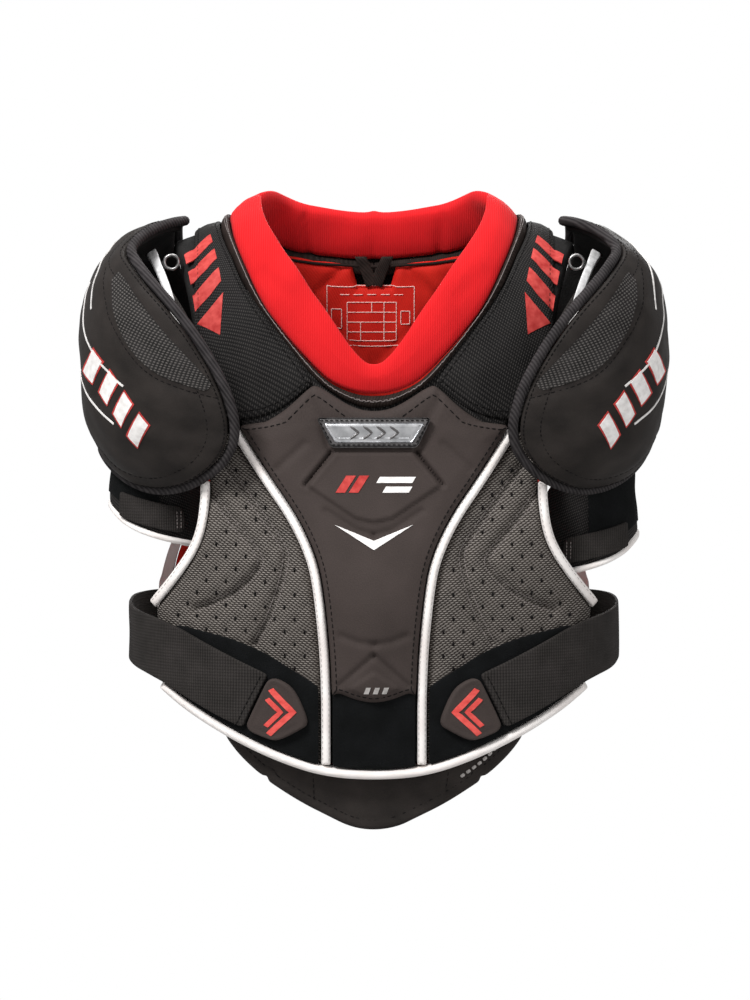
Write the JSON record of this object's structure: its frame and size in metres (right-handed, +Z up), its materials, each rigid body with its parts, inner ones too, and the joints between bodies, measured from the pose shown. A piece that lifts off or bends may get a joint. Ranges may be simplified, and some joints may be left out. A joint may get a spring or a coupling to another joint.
{
  "type": "ice hockey shoulder pads",
  "caption": "Padded shoulder, chest and back protector with rounded shoulder caps, arm guards, a V collar, side straps and a belly flap.",
  "frame": {"origin": "on the centreline at the height of the neck base, midway between chest and back", "axes": "the wearer faces -Y, +X is the wearer's left, +Z is up"},
  "size_m": [0.51, 0.2916, 0.5436],
  "materials": {
    "collar_fabric": "padded red stretch knit",
    "back_lining_fabric": "quilted red lining",
    "binding_tape": "woven black-brown binding tape",
    "moulded_chest_foam": "moulded closed-cell foam with a fabric face",
    "padding_foam": "black foam padding under cloth",
    "hard_insert": "moulded polyethylene sheet",
    "body_fabric": "black knit mesh",
    "loop_pile": "black hook-and-loop pile",
    "side_mesh_fabric": "grey-brown perforated mesh",
    "white_piping": "white piping",
    "badge_metal": "silver metallised plastic",
    "elastic_webbing": "black woven elastic",
    "cap_fabric": "coated black fabric with a soft sheen",
    "satin_tape": "white satin tape"
  },
  "bodies": {
    "torso": {"collar_lobe_left": "collar_fabric", "collar_lobe_right": "collar_fabric", "collar_binding_left": "binding_tape", "collar_binding_right": "binding_tape", "collar_back_band": "collar_fabric", "hang_loop": "binding_tape", "chest_plate": "moulded_chest_foam", "chest_foam": "padding_foam", "sternum_insert": "hard_insert", "front_liner": "body_fabric", "loop_band_centre": "loop_pile", "side_chest_pad_left": "side_mesh_fabric", "side_chest_pad_right": "side_mesh_fabric", "loop_band_left": "loop_pile", "loop_band_right": "loop_pile", "chest_piping_left": "white_piping", "chest_piping_right": "white_piping", "armhole_piping_left": "white_piping", "armhole_piping_right": "white_piping", "hem_piping": "white_piping", "badge_frame": "badge_metal", "badge_plate": "badge_metal", "belly_flap_seam": "body_fabric", "back_liner": "back_lining_fabric", "back_foam": "padding_foam", "back_cover": "body_fabric", "spine_plate_upper": "moulded_chest_foam", "spine_plate_middle": "moulded_chest_foam", "spine_plate_lower": "moulded_chest_foam", "blade_pad_left": "side_mesh_fabric", "blade_pad_right": "side_mesh_fabric", "back_binding_left": "white_piping", "back_binding_right": "white_piping", "rear_band": "elastic_webbing", "shoulder_yoke_left": "body_fabric", "shoulder_yoke_right": "body_fabric", "shoulder_pad_left": "padding_foam", "shoulder_pad_right": "padding_foam", "cap_link_left": "satin_tape", "cap_link_right": "satin_tape", "cap_ring_left": "badge_metal", "cap_ring_right": "badge_metal"},
    "belly_flap": {"belly_flap": "body_fabric"},
    "cap_left": {"cap_shell_left": "cap_fabric", "cap_liner_left": "padding_foam", "cap_binding_left": "binding_tape"},
    "arm_guard_left": {"arm_guard_shell_left": "body_fabric", "arm_guard_liner_left": "padding_foam"},
    "arm_strap_left": {"arm_strap_left": "elastic_webbing"},
    "side_strap_left": {"side_strap_left": "elastic_webbing", "strap_tab_left": "moulded_chest_foam"},
    "cap_right": {"cap_shell_right": "cap_fabric", "cap_liner_right": "padding_foam", "cap_binding_right": "binding_tape"},
    "arm_guard_right": {"arm_guard_shell_right": "body_fabric", "arm_guard_liner_right": "padding_foam"},
    "arm_strap_right": {"arm_strap_right": "elastic_webbing"},
    "side_strap_right": {"side_strap_right": "elastic_webbing", "strap_tab_right": "moulded_chest_foam"}
  },
  "joints": [
    {"name": "belly_flap_fold", "type": "hinge", "parent": "torso", "child": "belly_flap", "pos_m": [0, -0.122, -0.4605], "axis": [-1, 0, 0], "range_deg": [0, 80]},
    {"name": "cap_lift_left", "type": "hinge", "parent": "torso", "child": "cap_left", "pos_m": [0.168, 0, 0], "axis": [0, -1, 0], "range_deg": [0, 40]},
    {"name": "arm_guard_swing_left", "type": "hinge", "parent": "cap_left", "child": "arm_guard_left", "pos_m": [0.184, 0, -0.214], "axis": [0, -1, 0], "range_deg": [0, 15]},
    {"name": "arm_strap_peel_left", "type": "hinge", "parent": "arm_guard_left", "child": "arm_strap_left", "pos_m": [0.21733, -0.04652, -0.251], "axis": [0, 0, 1], "range_deg": [0, 95]},
    {"name": "side_strap_open_left", "type": "hinge", "parent": "torso", "child": "side_strap_left", "pos_m": [0.12176, 0.12656, -0.345], "axis": [0, 0, 1], "range_deg": [0, 100]},
    {"name": "cap_lift_right", "type": "hinge", "parent": "torso", "child": "cap_right", "pos_m": [-0.168, 0, 0], "axis": [0, 1, 0], "range_deg": [0, 40]},
    {"name": "arm_guard_swing_right", "type": "hinge", "parent": "cap_right", "child": "arm_guard_right", "pos_m": [-0.184, 0, -0.214], "axis": [0, 1, 0], "range_deg": [0, 15]},
    {"name": "arm_strap_peel_right", "type": "hinge", "parent": "arm_guard_right", "child": "arm_strap_right", "pos_m": [-0.21733, -0.04652, -0.225], "axis": [0, 0, -1], "range_deg": [0, 95]},
    {"name": "side_strap_open_right", "type": "hinge", "parent": "torso", "child": "side_strap_right", "pos_m": [-0.12176, 0.12656, -0.345], "axis": [0, 0, -1], "range_deg": [0, 100]}
  ]
}
